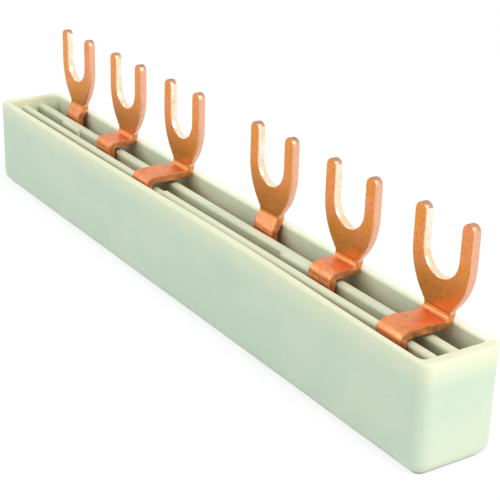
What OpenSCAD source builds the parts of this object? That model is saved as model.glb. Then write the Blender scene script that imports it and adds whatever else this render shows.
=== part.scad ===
// Comb busbar: a long insulating trough holding three copper phase bars.
// Each bar stands on edge in its own channel and sends two fork terminals up through the open top.
// All forks stand in one plane along the rear wall, so one row of device clamps takes them.
// +X runs along the trough, +Y to the rear wall, +Z up; the origin is under the middle of the base.

/* [Case] */
// Overall length of the trough
case_length = 117; // [108:0.5:135]
// Width across the two long walls
case_width = 11.9; // [11:0.1:13]
// Height from the base to the rim
case_height = 14.7; // [14.4:0.1:15]
// Radius of the upright corners and of the edges along the base
case_radius = 2; // [1:0.1:2.5]
// Radius on both edges of the rim
rim_radius = 0.45; // [0.2:0.05:0.6]
// Thickness of the two long walls
wall = 1.4; // [1.2:0.1:1.5]
// Thickness of the two end walls
end_wall = 1.9; // [1.4:0.1:2.4]
// Thickness of the floor
floor_thickness = 1.5; // [1:0.1:2.5]
// Radius of the upright inner corners
inner_radius = 0.7; // [0.3:0.1:1]

/* [Channel ribs] */
// Thickness of the front rib
front_rib = 1.4; // [1.2:0.1:1.6]
// Thickness of the rear rib
rear_rib = 1.55; // [1.2:0.05:1.7]
// Part of the spare width beside the strips that the front channel gets, in percent
front_spare = 38.6; // [30:0.1:45]
// Part of the spare width that the middle channel gets, in percent
middle_spare = 18.2; // [10:0.1:25]
// Depth of the rib tops below the rim
rib_drop = 1.27; // [1:0.01:2]
// Radius on the rib tops
rib_round = 0.55; // [0.2:0.05:0.6]
// Depth of the seat in the front rib under the first group's front tab
seat_depth = 0.35; // [0.2:0.05:0.6]
// Forward step of the two pads at the top of the rear rib
pad_step = 0.6; // [0.3:0.05:0.7]
// Clearance between the pads and the strip below them
pad_gap = 0.5; // [0.2:0.1:1]

/* [Copper bars] */
// Thickness of the copper sheet
copper = 1.1; // [1:0.05:1.15]
// Height of the strips that stand in the channels
strip_height = 9.3; // [6:0.1:10]
// Gap between a strip's end and the end wall
strip_end_gap = 2.5; // [1:0.1:4]
// Clearance between the front strip and the front rib
front_strip_gap = 0.35; // [0.2:0.05:0.6]
// Clearance between the middle strip and the front rib
middle_strip_gap = 0.15; // [0.1:0.05:0.3]
// Clearance between the rear strip and the rear rib
rear_strip_gap = 0.15; // [0.1:0.05:0.3]

/* [Forks] */
// Distance from the left end of the case to the first fork
first_fork = 12; // [11:0.1:14]
// Pitch of the forks inside a group of three
fork_pitch = 17.8; // [17.5:0.1:18]
// Distance from the last fork to the right end of the case
last_fork = 9.6; // [8:0.1:14]
// Width across a fork
fork_width = 10.35; // [9.8:0.05:10.6]
// Width of the open slot in a fork
fork_slot = 6.2; // [5.6:0.1:6.6]
// Height of the fork tips above the base
fork_top = 27.85; // [27:0.05:29]
// Height of the centre of the slot's round bottom
slot_centre = 22.9; // [22.5:0.1:23.4]
// Height where the sides of a fork begin to curve in
flank_top = 22.7; // [22.4:0.1:23]
// Radius of the curved flanks
flank_radius = 8.8; // [8.4:0.1:9.6]
// Width of the neck that joins a fork to its tab
neck_width = 4.6; // [4:0.1:5]
// Radius between the neck and a flank
neck_fillet = 0.8; // [0.4:0.1:1]
// Distance the rear faces of the forks stand behind the inner face of the rear wall
fork_overhang = 0.1; // [0:0.05:0.2]

/* [Bends] */
// Clearance between the underside of the tabs and the rib tops
tab_lift = 0.67; // [0.4:0.01:0.9]
// Inside radius of the bend from a strip to a tab
lower_bend = 0.4; // [0.2:0.05:0.6]
// Inside radius of the bend from a tab to a fork
upper_bend = 0.6; // [0.3:0.05:0.8]
// Lean angle of the rear bar's necks
lean = 30; // [26:1:34]
// Depth of the coined line across the neck
crease_depth = 0.12; // [0.05:0.01:0.2]
// Width of the coined line
crease_width = 0.26; // [0.1:0.02:0.4]

/* [Show] */
// Part to draw

/* [Hidden] */
$fn = 48;
eps = 0.01;

// case
half_l = case_length / 2;
half_w = case_width / 2;
corner_x = half_l - case_radius;
corner_y = half_w - case_radius;
in_x = half_l - end_wall;
in_front = -half_w + wall;
in_rear = half_w - wall;
rib_top = case_height - rib_drop;

// channels: each holds a strip and its clearance, and takes its part of the width left over
strip_gaps = front_strip_gap + middle_strip_gap + rear_strip_gap;
spare = in_rear - in_front - front_rib - rear_rib - 3 * copper - strip_gaps;
front_channel = copper + front_strip_gap + spare * front_spare / 100;
middle_channel = copper + middle_strip_gap + spare * middle_spare / 100;

// ribs, front to rear
front_rib_y = in_front + front_channel;
middle_y = front_rib_y + front_rib;
rear_rib_y = middle_y + middle_channel;
rear_y = rear_rib_y + rear_rib;

// the fork plane
fork_back = in_rear + fork_overhang;
fork_front = fork_back - copper;

// front faces of the three strips
front_strip_y = front_rib_y - front_strip_gap - copper;
middle_strip_y = middle_y + middle_strip_gap;
rear_strip_y = rear_y + rear_strip_gap;

// bends
tab_under = rib_top + tab_lift;
tab_over = tab_under + copper;
lower_centre = tab_under - lower_bend;
upper_centre = tab_over + upper_bend;
crease_z = upper_centre + crease_width / 2;
jog_radius = upper_bend + copper / 2;

// fork outline
prong = (fork_width - fork_slot) / 2;
flank_x = fork_width / 2 - flank_radius;
fillet_x = neck_width / 2 + neck_fillet;
fillet_z = flank_top - sqrt(pow(flank_radius + neck_fillet, 2) - pow(fillet_x - flank_x, 2));
flank_share = flank_radius / (flank_radius + neck_fillet);
touch_x = flank_x + (fillet_x - flank_x) * flank_share;
touch_z = flank_top + (fillet_z - flank_top) * flank_share;

// fork positions along the case: one group of three is set from each end
fork_1 = -half_l + first_fork;
fork_2 = fork_1 + fork_pitch;
fork_3 = fork_2 + fork_pitch;
fork_6 = half_l - last_fork;
fork_5 = fork_6 - fork_pitch;
fork_4 = fork_5 - fork_pitch;

// lengths of the seat and the pads along the ribs
seat_run = 4.1;
pad_lead = 1;
pad_run = 6.8;
pad_tail = 10;
pad_clear = 0.25;
pad_low = floor_thickness + strip_height + pad_gap;

// draws a Y-Z profile and runs it along X, from x to x + run
module along_x(x, run) {
    translate([x, 0, 0])
        rotate([90, 0, 90])
            linear_extrude(height = run)
                children();
}

// draws an X-Z profile and runs it along Y, from y to y + run
module along_y(y, run) {
    translate([0, y + run, 0])
        rotate([90, 0, 0])
            linear_extrude(height = run)
                children();
}

// outline of the case from its centre line: flat below, rounded at the base edge and at the rim
module case_profile(half) {
    flat = half - case_radius;
    if (flat > 0)
        translate([-flat, 0])
            square([2 * flat, case_height]);
    translate([-half, case_radius])
        square([2 * half, case_height - case_radius - rim_radius]);
    translate([-half + rim_radius, case_height / 2])
        square([2 * (half - rim_radius), case_height / 2]);
    for (s = [-1, 1])
        translate([s * flat, case_radius])
            circle(r = case_radius);
    for (s = [-1, 1])
        translate([s * (half - rim_radius), case_height - rim_radius])
            circle(r = rim_radius);
}

// a corner of the case, turned about its upright axis
module case_corner() {
    rotate_extrude($fn = 32)
        intersection() {
            case_profile(case_radius);
            square([case_radius, case_height]);
        }
}

module case_solid() {
    along_x(-corner_x, 2 * corner_x)
        case_profile(half_w);
    along_y(-corner_y, 2 * corner_y)
        case_profile(half_l);
    for (sx = [-1, 1])
        for (sy = [-1, 1])
            translate([sx * corner_x, sy * corner_y, 0])
                case_corner();
}

// outline of the hollow, which opens out where it meets the rim
module hollow_profile(half) {
    translate([-half, floor_thickness])
        square([2 * half, case_height]);
    difference() {
        translate([-half - rim_radius, case_height - rim_radius])
            square([2 * (half + rim_radius), 2 * rim_radius]);
        for (s = [-1, 1])
            translate([s * (half + rim_radius), case_height - rim_radius])
                circle(r = rim_radius);
    }
}

module hollow_corner() {
    rotate_extrude($fn = 32)
        intersection() {
            hollow_profile(inner_radius);
            square([inner_radius + 2 * rim_radius, 2 * case_height]);
        }
}

module hollow() {
    reach_x = in_x - inner_radius;
    reach_y = in_rear - inner_radius;
    along_x(-reach_x, 2 * reach_x)
        hollow_profile(in_rear);
    along_y(-reach_y, 2 * reach_y)
        hollow_profile(in_x);
    for (sx = [-1, 1])
        for (sy = [-1, 1])
            translate([sx * reach_x, sy * reach_y, 0])
                hollow_corner();
}

// a rib from z = low to its rounded top
module rib_profile(y, thick, top, low = floor_thickness - eps) {
    translate([y, low])
        square([thick, top - rib_round - low]);
    translate([y + rib_round, low])
        square([thick - 2 * rib_round, top - low]);
    for (c = [rib_round, thick - rib_round])
        translate([y + c, top - rib_round])
            circle(r = rib_round);
}

module ribs() {
    reach = in_x + end_wall / 2;
    seat_from = fork_3 - seat_run;
    seat_to = fork_3 + seat_run;
    along_x(-reach, seat_from + reach)
        rib_profile(front_rib_y, front_rib, rib_top);
    along_x(seat_from - eps, seat_to - seat_from + 2 * eps)
        rib_profile(front_rib_y, front_rib, rib_top - seat_depth);
    along_x(seat_to, reach - seat_to)
        rib_profile(front_rib_y, front_rib, rib_top);
    along_x(-reach, 2 * reach)
        rib_profile(rear_rib_y, rear_rib, rib_top);
    along_x(fork_1 + pad_lead, pad_run - pad_lead)
        rib_profile(rear_rib_y - pad_step, rear_rib, rib_top, pad_low);
    along_x(fork_5 - pad_tail, pad_tail - neck_width / 2 - pad_clear)
        rib_profile(rear_rib_y - pad_step, rear_rib, rib_top, pad_low);
}

module housing() {
    color([0.8, 0.82, 0.76])
        union() {
            difference() {
                case_solid();
                hollow();
            }
            ribs();
        }
}

// a quarter ring of sheet with the given inside radius, in the quadrant of qx, qz
module sheet_quarter(y, z, inside, qx, qz) {
    outside = inside + copper;
    translate([y, z])
        intersection() {
            difference() {
                circle(r = outside);
                circle(r = inside);
            }
            translate([qx < 0 ? -outside : 0, qz < 0 ? -outside : 0])
                square([outside, outside]);
        }
}

// side view of a tab that rises from a strip, bends to the rear and bends up into a fork
module tab_profile(strip_y) {
    bend_y = strip_y + copper + lower_bend;
    rise_y = fork_front - upper_bend;
    translate([strip_y, floor_thickness + strip_height / 2])
        square([copper, lower_centre - floor_thickness - strip_height / 2 + eps]);
    sheet_quarter(bend_y, lower_centre, lower_bend, -1, 1);
    translate([bend_y - eps, tab_under])
        square([rise_y - bend_y + 2 * eps, copper]);
    sheet_quarter(rise_y, upper_centre, upper_bend, 1, -1);
}

// side view of a rear neck, which leans back from its strip to the fork plane
module lean_profile(strip_y) {
    step = fork_front - strip_y;
    straight = (step - 2 * jog_radius * (1 - cos(lean))) / sin(lean);
    rise = 2 * jog_radius * sin(lean) + straight * cos(lean);
    start = upper_centre - rise;
    inside = jog_radius - copper / 2;
    outside = jog_radius + copper / 2;
    mid_y = strip_y + copper / 2;
    low_y = mid_y + jog_radius;
    high_y = mid_y + step - jog_radius;
    translate([strip_y, floor_thickness + strip_height / 2])
        square([copper, start - floor_thickness - strip_height / 2 + eps]);
    translate([low_y, start])
        intersection() {
            difference() {
                circle(r = outside);
                circle(r = inside);
            }
            polygon([[0, 0], [-2 * outside, 0], [-2 * outside * cos(lean), 2 * outside * sin(lean)]]);
        }
    translate([high_y, upper_centre])
        intersection() {
            difference() {
                circle(r = outside);
                circle(r = inside);
            }
            polygon([[0, 0], [2 * outside, 0], [2 * outside * cos(lean), -2 * outside * sin(lean)]]);
        }
    translate([low_y - jog_radius * cos(lean), start + jog_radius * sin(lean)])
        rotate(90 - lean)
            translate([-eps, -copper / 2])
                square([straight + 2 * eps, copper]);
}

// front view of a fork from its neck up to the round tips
module fork_outline() {
    difference() {
        union() {
            // neck
            translate([-neck_width / 2, upper_centre - eps])
                square([neck_width, touch_z - upper_centre + eps]);
            // curved flanks
            intersection() {
                translate([flank_x, flank_top])
                    circle(r = flank_radius, $fn = 144);
                translate([-flank_x, flank_top])
                    circle(r = flank_radius, $fn = 144);
                translate([-fork_width / 2, touch_z - eps])
                    square([fork_width, flank_top - touch_z + 2 * eps]);
            }
            // fillets between the neck and the flanks
            for (s = [0, 1])
                mirror([s, 0])
                    difference() {
                        polygon([[0, fillet_z], [fillet_x, fillet_z], [touch_x, touch_z], [0, touch_z]]);
                        translate([fillet_x, fillet_z])
                            circle(r = neck_fillet);
                    }
            // prongs
            translate([-fork_width / 2, flank_top])
                square([fork_width, fork_top - prong / 2 - flank_top]);
            for (s = [-1, 1])
                translate([s * (fork_width - prong) / 2, fork_top - prong / 2])
                    circle(r = prong / 2);
        }
        // slot with a round bottom
        translate([0, slot_centre])
            circle(r = fork_slot / 2);
        translate([-fork_slot / 2, slot_centre])
            square([fork_slot, fork_top]);
    }
}

// a fork with the coined line across the front of its neck
module fork(x) {
    translate([x, 0, 0])
        difference() {
            along_y(fork_front, copper)
                fork_outline();
            translate([0, fork_front, crease_z])
                scale([1, crease_depth / crease_width * 2, 1])
                    rotate([45, 0, 0])
                        cube([2 * neck_width, crease_width / sqrt(2), crease_width / sqrt(2)], center = true);
        }
}

// the strip that stands on edge in a channel
module strip(y) {
    reach = in_x - strip_end_gap;
    translate([-reach, y, floor_thickness])
        cube([2 * reach, copper, strip_height]);
}

module bent_bar(strip_y, x_a, x_b) {
    union() {
        strip(strip_y);
        for (x = [x_a, x_b]) {
            along_x(x - neck_width / 2, neck_width)
                tab_profile(strip_y);
            fork(x);
        }
    }
}

module front_bar() {
    color([0.78, 0.47, 0.33])
        bent_bar(front_strip_y, fork_3, fork_6);
}

module middle_bar() {
    color([0.78, 0.47, 0.33])
        bent_bar(middle_strip_y, fork_2, fork_5);
}

module rear_bar() {
    color([0.78, 0.47, 0.33])
        union() {
            strip(rear_strip_y);
            for (x = [fork_1, fork_4]) {
                along_x(x - neck_width / 2, neck_width)
                    lean_profile(rear_strip_y);
                fork(x);
            }
        }
}

housing();
front_bar();
middle_bar();
rear_bar();
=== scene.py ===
"""Comb busbar: a pale plastic trough with three copper phase bars, dressed for a white studio table."""
import bpy
import bmesh
import math
from mathutils import Matrix, Vector


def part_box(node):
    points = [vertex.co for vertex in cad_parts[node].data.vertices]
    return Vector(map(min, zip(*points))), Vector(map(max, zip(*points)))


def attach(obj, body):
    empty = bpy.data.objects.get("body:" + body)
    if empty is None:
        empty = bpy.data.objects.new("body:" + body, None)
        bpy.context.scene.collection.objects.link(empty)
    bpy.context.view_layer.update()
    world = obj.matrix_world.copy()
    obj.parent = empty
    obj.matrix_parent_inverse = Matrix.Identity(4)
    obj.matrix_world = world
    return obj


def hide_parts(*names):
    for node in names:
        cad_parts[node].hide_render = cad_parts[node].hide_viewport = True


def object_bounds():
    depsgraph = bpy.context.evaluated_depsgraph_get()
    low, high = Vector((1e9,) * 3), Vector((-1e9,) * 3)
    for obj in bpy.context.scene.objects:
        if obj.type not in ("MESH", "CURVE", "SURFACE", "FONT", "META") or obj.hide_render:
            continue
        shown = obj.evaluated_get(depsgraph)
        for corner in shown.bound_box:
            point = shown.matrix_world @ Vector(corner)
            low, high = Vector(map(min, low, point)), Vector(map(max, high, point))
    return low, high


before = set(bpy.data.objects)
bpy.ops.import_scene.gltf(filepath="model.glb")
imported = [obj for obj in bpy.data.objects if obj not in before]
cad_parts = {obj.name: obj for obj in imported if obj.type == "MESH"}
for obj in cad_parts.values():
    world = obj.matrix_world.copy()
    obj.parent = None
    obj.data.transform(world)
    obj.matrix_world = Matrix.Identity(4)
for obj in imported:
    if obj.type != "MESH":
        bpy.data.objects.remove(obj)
cad_low, cad_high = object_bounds()
MM = 0.001

# ---------------------------------------------------------------- camera

VIEW_AZIMUTH = math.radians(56.3)
VIEW_ELEVATION = math.radians(22.68)
VIEW_ROLL = math.radians(1.775)
LENS_MM = 95.74
# distances of the lens from the left end of the base, along the camera's own axes
CAMERA_RIGHT = 44.66 * MM
CAMERA_UP = -13.12 * MM
CAMERA_BACK = 240.85 * MM
# the point those distances are measured from
CAMERA_ORIGIN = Vector((cad_low.x, cad_low.y + 0.3 * MM, cad_low.z))


def camera_axes():
    """Right, up and back of the camera, turned by its roll."""
    level = math.cos(VIEW_ELEVATION)
    back_x = math.sin(VIEW_AZIMUTH) * level
    back_y = -math.cos(VIEW_AZIMUTH) * level
    back = Vector((back_x, back_y, math.sin(VIEW_ELEVATION)))
    right = Vector((0, 0, 1)).cross(back).normalized()
    up = back.cross(right)
    turned_right = math.cos(VIEW_ROLL) * right + math.sin(VIEW_ROLL) * up
    turned_up = math.cos(VIEW_ROLL) * up - math.sin(VIEW_ROLL) * right
    return turned_right, turned_up, back


def make_camera():
    """The camera at the photograph's viewing angle."""
    right, up, back = camera_axes()
    data = bpy.data.cameras.new("camera")
    data.sensor_width = 36
    data.lens = LENS_MM
    data.clip_start = 0.01
    data.clip_end = 20
    camera = bpy.data.objects.new("camera", data)
    place = CAMERA_ORIGIN + right * CAMERA_RIGHT + up * CAMERA_UP + back * CAMERA_BACK
    camera.matrix_world = Matrix.Translation(place) @ Matrix((right, up, back)).transposed().to_4x4()
    bpy.context.collection.objects.link(camera)
    bpy.context.scene.camera = camera


# ---------------------------------------------------------------- shader helpers


def new_material(name):
    """An empty material with its nodes and links."""
    material = bpy.data.materials.new(name)
    material.use_nodes = True
    material.node_tree.nodes.clear()
    return material, material.node_tree.nodes, material.node_tree.links


def noise(nodes, links, size_mm, detail=3.0):
    """Noise fixed to the object, with blotches of about size_mm."""
    place = nodes.new("ShaderNodeTexCoord")
    scale = nodes.new("ShaderNodeMapping")
    scale.inputs["Scale"].default_value = [1 / (size_mm * MM)] * 3
    links.new(place.outputs["Object"], scale.inputs["Vector"])
    cloud = nodes.new("ShaderNodeTexNoise")
    cloud.inputs["Scale"].default_value = 1
    cloud.inputs["Detail"].default_value = detail
    links.new(scale.outputs[0], cloud.inputs["Vector"])
    return cloud.outputs["Fac"]


def ramp(nodes, links, value, low, high, start=0.0, end=1.0):
    """Maps value from low..high to start..end, clamped."""
    node = nodes.new("ShaderNodeMapRange")
    node.inputs["From Min"].default_value = low
    node.inputs["From Max"].default_value = high
    node.inputs["To Min"].default_value = start
    node.inputs["To Max"].default_value = end
    links.new(value, node.inputs["Value"])
    return node.outputs[0]


def blend_colour(nodes, links, factor, first, second):
    """Mixes two colours, each a colour socket or four numbers."""
    node = nodes.new("ShaderNodeMix")
    node.data_type = "RGBA"
    links.new(factor, node.inputs["Factor"])
    for socket, colour in ((node.inputs[6], first), (node.inputs[7], second)):
        if isinstance(colour, tuple):
            socket.default_value = colour
        else:
            links.new(colour, socket)
    return node.outputs[2]


def multiply(nodes, links, first, second):
    """The product of two masks."""
    node = nodes.new("ShaderNodeMath")
    node.operation = "MULTIPLY"
    links.new(first, node.inputs[0])
    links.new(second, node.inputs[1])
    return node.outputs[0]


def place_on_part(nodes, links):
    """The X, Y and Z sockets of the place on the part, in metres of the row frame."""
    place = nodes.new("ShaderNodeTexCoord")
    split = nodes.new("ShaderNodeSeparateXYZ")
    links.new(place.outputs["Object"], split.inputs[0])
    return split.outputs["X"], split.outputs["Y"], split.outputs["Z"]


def painted_shade_occlusion(nodes, links, reach_mm, low, high):
    """0 in narrow gaps and against other pieces, 1 in the open: the mask that painted shade follows."""
    node = nodes.new("ShaderNodeAmbientOcclusion")
    node.samples = 8
    node.inputs["Distance"].default_value = reach_mm * MM
    return ramp(nodes, links, node.outputs["AO"], low, high)


def bump(nodes, links, height, depth_mm):
    """A normal that follows the height, which stands depth_mm proud at its most."""
    node = nodes.new("ShaderNodeBump")
    node.inputs["Strength"].default_value = 1
    node.inputs["Distance"].default_value = depth_mm * MM
    links.new(height, node.inputs["Height"])
    return node.outputs[0]


def seen_directly(nodes, links):
    """One where the camera, a reflection or a clear material looks, and zero for other light."""
    path = nodes.new("ShaderNodeLightPath")
    first = nodes.new("ShaderNodeMath")
    first.operation = "MAXIMUM"
    links.new(path.outputs["Is Camera Ray"], first.inputs[0])
    links.new(path.outputs["Is Glossy Ray"], first.inputs[1])
    second = nodes.new("ShaderNodeMath")
    second.operation = "MAXIMUM"
    links.new(first.outputs[0], second.inputs[0])
    links.new(path.outputs["Is Transmission Ray"], second.inputs[1])
    return second.outputs[0]


# ---------------------------------------------------------------- light and table

FLOOR_HALF = 3
# the share of the floor's look that glows by itself, and how strongly
FLOOR_WHITE = 0.8
FLOOR_GLOW = 1.06
PAPER = (0.9, 0.9, 0.9, 1)
WHITE = (1, 1, 1, 1)
# a thin painted contact shadow, grey on the floor where the case stands, with its reach in mm
CONTACT_SHADOW_REACH = 0.22
CONTACT_SHADOW_GREY = (0.35, 0.36, 0.35, 1)
FILL_LEVEL = 0.6
FILL_COLOUR = (0.86, 1, 0.985, 1)
# lamps: place and side in metres, then watts and colour
KEY = ((0.85, 0.15, 0.95), 0.6, 10.8, (1, 0.93, 0.89))
FRONT_FILL = ((-0.3, -0.38, 0.3), 0.3, 0.42, (0.93, 1, 0.93))


def make_floor():
    """A pale floor that looks white and takes a faint shadow and a thin painted contact shadow."""
    mesh = bpy.data.meshes.new("floor")
    shape = bmesh.new()
    bmesh.ops.create_grid(shape, x_segments=1, y_segments=1, size=FLOOR_HALF)
    shape.to_mesh(mesh)
    shape.free()
    floor = bpy.data.objects.new("floor", mesh)
    floor.location.z = cad_low.z
    bpy.context.collection.objects.link(floor)
    material, nodes, links = new_material("floor_paper")
    paper = nodes.new("ShaderNodeBsdfDiffuse")
    paper.inputs["Color"].default_value = PAPER
    white = nodes.new("ShaderNodeEmission")
    white.inputs["Strength"].default_value = FLOOR_GLOW
    # painted contact shadow: the floor's white turns grey within a fraction of a mm of the case
    outside_contact_shadow = painted_shade_occlusion(nodes, links, CONTACT_SHADOW_REACH, low=0.5, high=0.85)
    white_with_contact_shadow = blend_colour(nodes, links, outside_contact_shadow, CONTACT_SHADOW_GREY, WHITE)
    links.new(white_with_contact_shadow, white.inputs["Color"])
    share = ramp(nodes, links, seen_directly(nodes, links), 0, 1, 0, FLOOR_WHITE)
    mix = nodes.new("ShaderNodeMixShader")
    links.new(share, mix.inputs["Fac"])
    links.new(paper.outputs[0], mix.inputs[1])
    links.new(white.outputs[0], mix.inputs[2])
    out = nodes.new("ShaderNodeOutputMaterial")
    links.new(mix.outputs[0], out.inputs["Surface"])
    mesh.materials.append(material)


def make_world():
    """White where it is seen, and a softer, greener fill for the light it gives."""
    world = bpy.data.worlds.new("studio")
    world.use_nodes = True
    nodes, links = world.node_tree.nodes, world.node_tree.links
    nodes.clear()
    fill = nodes.new("ShaderNodeBackground")
    fill.inputs["Color"].default_value = FILL_COLOUR
    fill.inputs["Strength"].default_value = FILL_LEVEL
    white = nodes.new("ShaderNodeBackground")
    white.inputs["Color"].default_value = WHITE
    white.inputs["Strength"].default_value = 1
    mix = nodes.new("ShaderNodeMixShader")
    links.new(seen_directly(nodes, links), mix.inputs["Fac"])
    links.new(fill.outputs[0], mix.inputs[1])
    links.new(white.outputs[0], mix.inputs[2])
    out = nodes.new("ShaderNodeOutputWorld")
    links.new(mix.outputs[0], out.inputs["Surface"])
    bpy.context.scene.world = world


def softbox(name, place, side, watts, colour):
    """A square lamp that looks at the middle of the part."""
    data = bpy.data.lights.new(name, "AREA")
    data.shape = "SQUARE"
    data.size = side
    data.energy = watts
    data.color = colour
    lamp = bpy.data.objects.new(name, data)
    lamp.location = place
    lamp.rotation_mode = "QUATERNION"
    lamp.rotation_quaternion = (-Vector(place)).to_track_quat("-Z", "Y")
    bpy.context.collection.objects.link(lamp)


def make_lights():
    """The two lamps, and a plain view of the colours they give."""
    softbox("key", *KEY)
    softbox("front_fill", *FRONT_FILL)
    bpy.context.scene.view_settings.view_transform = "Standard"


# ---------------------------------------------------------------- materials

PLASTIC = (0.675, 0.745, 0.59, 1)
PLASTIC_COOL = (0.62, 0.725, 0.585, 1)
# painted warm highlight towards the top of the walls
PLASTIC_RIM_HIGHLIGHT = (0.83, 0.83, 0.62, 1)
# painted light on the inner rear wall
PLASTIC_PAINTED_LIGHT = (0.97, 1, 0.8, 1)
# painted shade in narrow gaps and deep channels
PLASTIC_PAINTED_SHADE = (0.2, 0.22, 0.12, 1)
PLASTIC_SPECK = (0.5, 0.55, 0.42, 1)
SPECK_STRENGTH = 0.25
# places that the colours follow: the rim's top, where the painted light on the rear wall begins, and the
# tabs' top
RIM_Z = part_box("housing")[1].z
PAINTED_LIGHT_FROM = 3.6 * MM
TAB_TOP = 15.3 * MM
COPPER_FACE = (0.81, 0.31, 0.06, 1)
COPPER_TARNISH = (0.42, 0.17, 0.035, 1)
COPPER_WARM = (0.88, 0.31, 0.13, 1)
# the sheared edges' lighter metal, with a painted highlight
COPPER_EDGE_AND_HIGHLIGHT = (0.9, 0.49, 0.32, 1)
COPPER_EDGE_DULL = (0.66, 0.32, 0.2, 1)
# painted highlight on the slot's walls, with warmer patches
COPPER_SLOT_HIGHLIGHT = (1, 0.9, 0.75, 1)
COPPER_SLOT_HIGHLIGHT_WARM = (1, 0.72, 0.4, 1)
COPPER_PINK = (0.85, 0.32, 0.17, 1)
COPPER_BROWN = (0.5, 0.2, 0.1, 1)
COPPER_TIP = (0.5, 0.3, 0.19, 1)
COPPER_TIP_DARK = (0.26, 0.16, 0.1, 1)
# how much of the tabs is pink, of the pink is brown, of the webs is dull, and of all copper is stained
TAB_PINK = 0.7
TAB_BROWN = 0.5
WEB_TARNISH = 0.28
STAIN_STRENGTH = 0.5


def plastic_material():
    """Pale grey-green moulding: faint clouds, a painted warm highlight towards the top of the walls,
    painted light on the inner rear wall, specks and painted shade in the gaps.
    """
    material, nodes, links = new_material("case_plastic")
    shader = nodes.new("ShaderNodeBsdfPrincipled")
    clouds = ramp(nodes, links, noise(nodes, links, size_mm=9, detail=4), low=0.38, high=0.62)
    colour = blend_colour(nodes, links, clouds, PLASTIC, PLASTIC_COOL)
    x, y, z = place_on_part(nodes, links)
    # painted highlight: lighter and yellower towards the top of the walls
    rim = ramp(nodes, links, z, low=RIM_Z - 3.4 * MM, high=RIM_Z - 0.5 * MM)
    colour = blend_colour(nodes, links, rim, colour, PLASTIC_RIM_HIGHLIGHT)
    # painted light: the inner rear wall, between the end walls, is made near white
    painted_light_rear_wall = ramp(nodes, links, y, PAINTED_LIGHT_FROM, PAINTED_LIGHT_FROM + 0.6 * MM)
    before_back = ramp(nodes, links, y, cad_high.y - 0.6 * MM, cad_high.y - 0.1 * MM, 1, 0)
    left_of_end = ramp(nodes, links, x, cad_high.x - 2.2 * MM, cad_high.x - 1.4 * MM, 1, 0)
    right_of_end = ramp(nodes, links, x, cad_low.x + 1.4 * MM, cad_low.x + 2.2 * MM)
    between_ends = multiply(nodes, links, left_of_end, right_of_end)
    inside = multiply(nodes, links, multiply(nodes, links, painted_light_rear_wall, before_back), between_ends)
    colour = blend_colour(nodes, links, inside, colour, PLASTIC_PAINTED_LIGHT)
    spots = noise(nodes, links, size_mm=0.9, detail=1)
    specks = ramp(nodes, links, spots, low=0.745, high=0.77, start=0, end=SPECK_STRENGTH)
    colour = blend_colour(nodes, links, specks, colour, PLASTIC_SPECK)
    # painted shade: dark olive in narrow gaps, deep channels and under the copper
    unshaded_share = painted_shade_occlusion(nodes, links, reach_mm=6, low=0.02, high=0.24)
    colour = blend_colour(nodes, links, unshaded_share, PLASTIC_PAINTED_SHADE, colour)
    links.new(colour, shader.inputs["Base Color"])
    shader.inputs["Subsurface Weight"].default_value = 0.1
    shader.inputs["Subsurface Radius"].default_value = (1, 0.95, 0.7)
    shader.inputs["Subsurface Scale"].default_value = 0.8 * MM
    rough = ramp(nodes, links, noise(nodes, links, size_mm=3), low=0.3, high=0.7, start=0.36, end=0.52)
    links.new(rough, shader.inputs["Roughness"])
    grain = noise(nodes, links, size_mm=0.5, detail=4)
    links.new(bump(nodes, links, grain, depth_mm=0.03), shader.inputs["Normal"])
    out = nodes.new("ShaderNodeOutputMaterial")
    links.new(shader.outputs[0], out.inputs["Surface"])
    return material


def copper_material(name, clean, dull, warm, grain_mm, rough_low, rough_high, depth_mm):
    """Bare copper: warmer patches, pink and brown tabs, dull stains, a dull web and a fine grain."""
    material, nodes, links = new_material(name)
    shader = nodes.new("ShaderNodeBsdfPrincipled")
    shader.inputs["Metallic"].default_value = 1
    patches = ramp(nodes, links, noise(nodes, links, size_mm=2.4, detail=4), low=0.4, high=0.68)
    colour = blend_colour(nodes, links, patches, clean, warm)
    z = place_on_part(nodes, links)[2]
    tab = ramp(nodes, links, z, TAB_TOP - 0.2 * MM, TAB_TOP + 0.5 * MM, TAB_PINK, 0)
    colour = blend_colour(nodes, links, tab, colour, COPPER_PINK)
    handling = noise(nodes, links, size_mm=1.6, detail=5)
    handled = ramp(nodes, links, handling, low=0.42, high=0.66, start=0, end=TAB_BROWN)
    colour = blend_colour(nodes, links, multiply(nodes, links, tab, handled), colour, COPPER_BROWN)
    blots = noise(nodes, links, grain_mm, detail=3)
    stains = ramp(nodes, links, blots, low=0.5, high=0.74, start=0, end=STAIN_STRENGTH)
    colour = blend_colour(nodes, links, stains, colour, dull)
    above_tab = ramp(nodes, links, z, TAB_TOP, TAB_TOP + 1 * MM, 0, WEB_TARNISH)
    below_slot = ramp(nodes, links, z, TAB_TOP + 2.5 * MM, TAB_TOP + 7 * MM, 1, 0)
    web = multiply(nodes, links, above_tab, below_slot)
    colour = blend_colour(nodes, links, web, colour, dull)
    links.new(colour, shader.inputs["Base Color"])
    sheen = noise(nodes, links, grain_mm * 2, detail=3)
    rough = ramp(nodes, links, sheen, low=0.35, high=0.65, start=rough_low, end=rough_high)
    links.new(rough, shader.inputs["Roughness"])
    grain = noise(nodes, links, grain_mm, detail=5)
    links.new(bump(nodes, links, grain, depth_mm), shader.inputs["Normal"])
    out = nodes.new("ShaderNodeOutputMaterial")
    links.new(shader.outputs[0], out.inputs["Surface"])
    return material


# ---------------------------------------------------------------- mesh helpers


SMOOTH_BELOW = math.radians(32)


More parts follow.
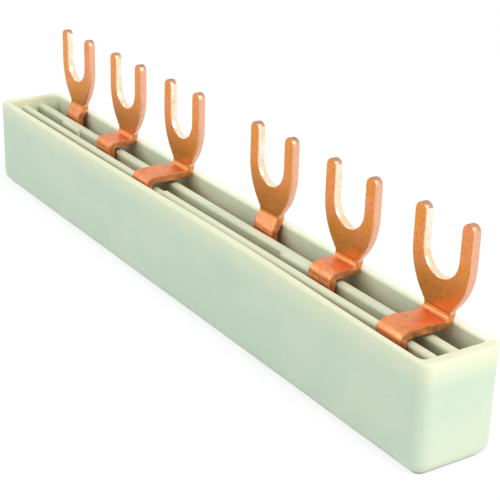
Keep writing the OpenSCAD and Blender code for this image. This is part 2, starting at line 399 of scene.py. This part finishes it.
def finish_mesh(name, shape, materials, body_slot, *nodes_replaced):
    """Turns a bmesh in millimetres of the row frame into a smooth-shaded piece that rides on the body."""
    for vertex in shape.verts:
        vertex.co *= MM
    for face in shape.faces:
        face.smooth = True
    for edge in shape.edges:
        edge.smooth = edge.calc_face_angle(0) < SMOOTH_BELOW
    mesh = bpy.data.meshes.new(name)
    shape.to_mesh(mesh)
    shape.free()
    for material in materials:
        mesh.materials.append(material)
    piece = bpy.data.objects.new(name, mesh)
    bpy.context.collection.objects.link(piece)
    flat = piece.modifiers.new("flat_faces", "WEIGHTED_NORMAL")
    flat.keep_sharp = True
    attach(piece, "root")
    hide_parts(*nodes_replaced)
    return piece


def cut_across(shape, axis, places):
    """Adds a loop of edges round the shape at each place along the axis."""
    normal = Vector((0, 0, 0))
    normal[axis] = 1
    for place in places:
        geometry = shape.verts[:] + shape.edges[:] + shape.faces[:]
        bmesh.ops.bisect_plane(shape, geom=geometry, dist=1e-5, plane_co=normal * place, plane_no=normal)


def steps(start, end, count):
    """Both ends and the places between them, count equal steps apart."""
    return [start + (end - start) * k / count for k in range(count + 1)]


def share_of(value, low, high):
    """How far value is from low to high, from 0 to 1."""
    return min(1.0, max(0.0, (value - low) / (high - low)))


def smooth_step(value, low, high):
    """The same with a soft start and end."""
    t = share_of(value, low, high)
    return t * t * (3 - 2 * t)


# ---------------------------------------------------------------- trough

case_low, case_high = [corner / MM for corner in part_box("housing")]
WALL = 1.4
END_WALL = 1.9
# what lies this near the front belongs to the front wall
FRONT_ZONE = WALL + 0.5
# the long walls are cut into this many lengths, from this far inside each end
WALL_CUTS = 38
CUT_FROM_END = 2.5
# moulding warp of the front wall and the left end, in mm
BOW_DEPTH = 0.5
BOW_CENTRE = 14.0
BOW_SPREAD = 24.0
THINNING = 0.4
THIN_FROM = 18.0
LEFT_END_DRAW = 0.8
LEFT_END_DRAFT = 0.5


def make_trough(plastic):
    """The moulded trough, with the slight bow and uneven front wall that the moulding took as it cooled."""
    shape = bmesh.new()
    shape.from_mesh(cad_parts["housing"].data)
    for vertex in shape.verts:
        vertex.co /= MM
    bmesh.ops.remove_doubles(shape, verts=shape.verts[:], dist=1e-3)
    cut_across(shape, 0, steps(case_low.x + CUT_FROM_END, case_high.x - CUT_FROM_END, WALL_CUTS))
    for vertex in shape.verts:
        x, y, z = vertex.co
        rise = (z / case_high.z) ** 2
        if y < case_low.y + FRONT_ZONE:
            inside = share_of(y, case_low.y, case_low.y + WALL)
            bow = BOW_DEPTH * math.exp(-((x - BOW_CENTRE) / BOW_SPREAD) ** 2)
            thin = THINNING * smooth_step(x, THIN_FROM, case_high.x - END_WALL) * inside
            vertex.co.y += (bow - thin) * rise
        outward = 1 - share_of(x, case_low.x, case_low.x + END_WALL)
        vertex.co.x += outward * (LEFT_END_DRAW + LEFT_END_DRAFT * (1 - z / case_high.z))
    finish_mesh("trough", shape, [plastic], "case_plastic", "housing")


# ---------------------------------------------------------------- copper bars

# the four metals of a bar, in the order of its material slots; the sheared edges are lighter metal with a
# painted highlight, and the slot's walls are a painted highlight
ROLLED, SHEARED_AND_HIGHLIGHT, SLOT_HIGHLIGHT, TIP = range(4)
# sizes in mm
SHEET = 1.1
STRIP_HALF = 54.1
STRIP_TOP = 10.8
TAB_UNDER = 14.1
LOWER_BEND = 0.4
UPPER_BEND = 0.6
LEAN = math.radians(30)
NECK_WIDTH = 4.6
NECK_FILLET = 0.8
FORK_WIDTH = 10.35
FORK_SLOT = 6.2
SLOT_CENTRE = 22.9
FLANK_TOP = 22.7
FLANK_RADIUS = 8.8
EDGE_ROUND = 0.13
EDGE_STEPS = 2
CREASE_RISE = 0.13
CREASE_DEPTH = 0.14
CREASE_HALF = 0.16
FORK_PITCH = 17.8
FIRST_FORK = 12.0
LAST_FORK = 9.6
# hand bending: the tab's sides swell by this share, and its faces wave by this many mm
TAB_SWELL = 0.035
TAB_WAVE = 0.07
# those waves in radians a mm along and across the sheet, and where they start on each fork
SWELL_TURN = 1.7
WAVE_TURN = 1.3
WAVE_TURN_ACROSS = 0.9
WAVE_START = 1.1
WAVE_STEP = 2.3
# they fade in from the strip's top, and out before the upright part of the fork
FADE_IN = (2.4, 3.4)
FADE_OUT = (1.6, 0.4)

bar_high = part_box("rear_bar")[1]
FORK_BACK = bar_high.y / MM
FORK_TOP = bar_high.z / MM
FORK_FRONT = FORK_BACK - SHEET
TAB_OVER = TAB_UNDER + SHEET
UPRIGHT_FROM = TAB_OVER + UPPER_BEND


def arc(centre_x, centre_z, radius, start, end, count):
    """Points on an arc, from the start angle to the end angle in degrees."""
    angles = [math.radians(a) for a in steps(start, end, count)]
    return [(centre_x + radius * math.cos(a), centre_z + radius * math.sin(a)) for a in angles]


def fork_half():
    """The right half of a fork: up the flank from the neck, over the tip and down to the slot's middle."""
    half, prong = FORK_WIDTH / 2, (FORK_WIDTH - FORK_SLOT) / 2
    flank_x = half - FLANK_RADIUS
    fillet_x = NECK_WIDTH / 2 + NECK_FILLET
    drop = math.sqrt((FLANK_RADIUS + NECK_FILLET) ** 2 - (fillet_x - flank_x) ** 2)
    turn = math.degrees(math.atan2(-drop, fillet_x - flank_x))
    points = arc(fillet_x, FLANK_TOP - drop, NECK_FILLET, 180, 180 + turn, 6)
    points += arc(flank_x, FLANK_TOP, FLANK_RADIUS, turn, 0, 16)
    points += arc(half - prong / 2, FORK_TOP - prong / 2, prong / 2, 0, 180, 14)
    points += arc(0, SLOT_CENTRE, FORK_SLOT / 2, 0, -90, 14)
    return points


class SheetPath:
    """The line that the sheet follows in the Y-Z plane, walked by its length from the top of the strip."""

    def __init__(self, strip_front, leaning):
        self.start = (strip_front + SHEET / 2, STRIP_TOP)
        lower = LOWER_BEND + SHEET / 2
        upper = UPPER_BEND + SHEET / 2
        if leaning:
            offset = FORK_FRONT - strip_front
            straight = (offset - 2 * upper * (1 - math.cos(LEAN))) / math.sin(LEAN)
            rise = 2 * upper * math.sin(LEAN) + straight * math.cos(LEAN)
            first = UPRIGHT_FROM - rise - STRIP_TOP
            self.runs = [(first, 0), (upper * LEAN, -1 / upper), (straight, 0), (upper * LEAN, 1 / upper)]
        else:
            flat = FORK_FRONT - UPPER_BEND - (strip_front + SHEET + LOWER_BEND)
            first = TAB_UNDER - LOWER_BEND - STRIP_TOP
            quarter = math.pi / 2
            self.runs = [(first, 0), (lower * quarter, -1 / lower), (flat, 0), (upper * quarter, 1 / upper)]
        self.upright = sum(length for length, _ in self.runs)

    def cuts(self):
        """Lengths at which the sheet needs edges to bend."""
        places, at = [], 0.0
        for length, curl in self.runs:
            places += steps(at, at + length, 8 if curl else 4)
            at += length
        return sorted(set(round(p, 5) for p in places if p > 0))

    def point(self, length):
        """Y, Z and the direction, as an angle from +Y, at this length along the sheet."""
        y, z = self.start
        angle = math.pi / 2
        left = length
        for run, curl in self.runs:
            part = min(left, run)
            if curl:
                turned = angle + curl * part
                y += (math.sin(turned) - math.sin(angle)) / curl
                z -= (math.cos(turned) - math.cos(angle)) / curl
                angle = turned
            else:
                y += part * math.cos(angle)
                z += part * math.sin(angle)
            left -= part
            if left <= 0:
                return y, z, angle
        return y, z + left, angle


def sheet_finish(normal, centre, upright, lift):
    """Which metal a face of the blank shows."""
    if abs(normal.z) > 0.95 or centre.y < upright:
        return ROLLED
    tip = FORK_TOP - (FORK_WIDTH - FORK_SLOT) / 4 + lift
    if centre.y > tip and normal.y > 0.35:
        return TIP
    reach = FORK_SLOT / 2 + EDGE_ROUND
    inside_slot = abs(centre.x) < reach and centre.y > SLOT_CENTRE + lift - reach
    # the slot's walls: a near-white painted highlight
    if inside_slot and abs(normal.z) < 0.5:
        return SLOT_HIGHLIGHT
    # the other edges and their rounding: lighter sheared metal with a painted highlight
    return SHEARED_AND_HIGHLIGHT


def round_edges(shape, edges):
    """Rounds these edges a little."""
    bmesh.ops.bevel(
        shape, geom=edges, offset=EDGE_ROUND, segments=EDGE_STEPS, profile=0.5, affect="EDGES"
    )


def tab_share(length, upright):
    """1 on the tab at this length along the sheet, fading to 0 on the strip and the upright fork."""
    fade_out = smooth_step(length, upright - FADE_OUT[0], upright - FADE_OUT[1])
    return smooth_step(length, *FADE_IN) * (1 - fade_out)


def add_fork(shape, x, path, wave):
    """One neck, tab and fork, cut as a flat blank with rounded edges and bent along the path."""
    blank = bmesh.new()
    lift = path.upright - UPRIGHT_FROM
    right = [(NECK_WIDTH / 2, -0.3)] + [(u, z + lift) for u, z in fork_half()]
    left = [(-u, s) for u, s in reversed(right)]
    outline = right + left[1:]
    corners = [blank.verts.new((u, s, -SHEET / 2)) for u, s in outline]
    face = blank.faces.new(corners)
    raised = bmesh.ops.extrude_face_region(blank, geom=[face])
    for item in raised["geom"]:
        if isinstance(item, bmesh.types.BMVert):
            item.co.z += SHEET
    bmesh.ops.recalc_face_normals(blank, faces=blank.faces[:])
    rims = [e for e in blank.edges if abs(e.verts[0].co.z - e.verts[1].co.z) < 1e-6]
    round_edges(blank, rims)
    cut_across(blank, 1, path.cuts())
    crease = path.upright + CREASE_RISE
    cut_across(blank, 1, [crease - CREASE_HALF, crease, crease + CREASE_HALF])
    blank.normal_update()
    for face in blank.faces:
        face.material_index = sheet_finish(face.normal, face.calc_center_median(), path.upright, lift)
    for vertex in blank.verts:
        u, s, depth = vertex.co
        y, z, angle = path.point(s)
        on_tab = tab_share(s, path.upright)
        outward = abs(u) / (NECK_WIDTH / 2)
        swell = 1 + TAB_SWELL * on_tab * math.sin(s * SWELL_TURN + wave) * outward
        depth += on_tab * TAB_WAVE * math.sin(s * WAVE_TURN + u * WAVE_TURN_ACROSS + wave)
        if depth > SHEET / 2 - EDGE_ROUND - 0.02 and abs(s - crease) < 0.01:
            depth -= CREASE_DEPTH
        vertex.co = Vector((x + u * swell, y - depth * math.sin(angle), z + depth * math.cos(angle)))
    flat = bpy.data.meshes.new("blank")
    blank.to_mesh(flat)
    blank.free()
    shape.from_mesh(flat)
    bpy.data.meshes.remove(flat)


def make_bar(name, node, forks, leaning, metals):
    """A strip on edge in its channel with its two forks."""
    shape = bmesh.new()
    block = bmesh.ops.create_cube(shape, size=1)["verts"]
    strip_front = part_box(node)[0].y / MM
    floor_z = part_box(node)[0].z / MM
    for vertex in block:
        vertex.co.x *= 2 * STRIP_HALF
        vertex.co.y = strip_front + SHEET / 2 + vertex.co.y * SHEET
        vertex.co.z = floor_z + (vertex.co.z + 0.5) * (STRIP_TOP - floor_z)
    round_edges(shape, shape.edges[:])
    path = SheetPath(strip_front, leaning)
    for number, x in enumerate(forks):
        add_fork(shape, x, path, WAVE_START + WAVE_STEP * number)
    finish_mesh(name, shape, metals, "copper", node)


def copper_metals():
    """The metals of a bar in the order of its slots: rolled, sheared with a painted highlight, the slot's
    painted highlight and tip.
    """
    return [
        copper_material("copper_face", COPPER_FACE, COPPER_TARNISH, COPPER_WARM, 0.45, 0.3, 0.5, 0.02),
        copper_material("copper_edge_and_highlight", COPPER_EDGE_AND_HIGHLIGHT, COPPER_EDGE_DULL, COPPER_EDGE_AND_HIGHLIGHT, 0.3, 0.22, 0.42, 0.02),
        copper_material("copper_slot_highlight", COPPER_SLOT_HIGHLIGHT, COPPER_EDGE_AND_HIGHLIGHT, COPPER_SLOT_HIGHLIGHT_WARM, 0.6, 0.12, 0.25, 0.01),
        copper_material("copper_tip", COPPER_TIP, COPPER_TIP_DARK, COPPER_EDGE_DULL, 0.4, 0.35, 0.5, 0.02),
    ]


def make_bars(metals):
    """Three phase bars; each has one fork in the left group of three and one in the right."""
    for number, phase in enumerate(("front", "middle", "rear")):
        left = case_low.x + FIRST_FORK + FORK_PITCH * (2 - number)
        right = case_high.x - LAST_FORK - FORK_PITCH * number
        make_bar(phase + "_phase", phase + "_bar", (left, right), phase == "rear", metals)


make_camera()
make_floor()
make_world()
make_lights()
make_trough(plastic_material())
make_bars(copper_metals())
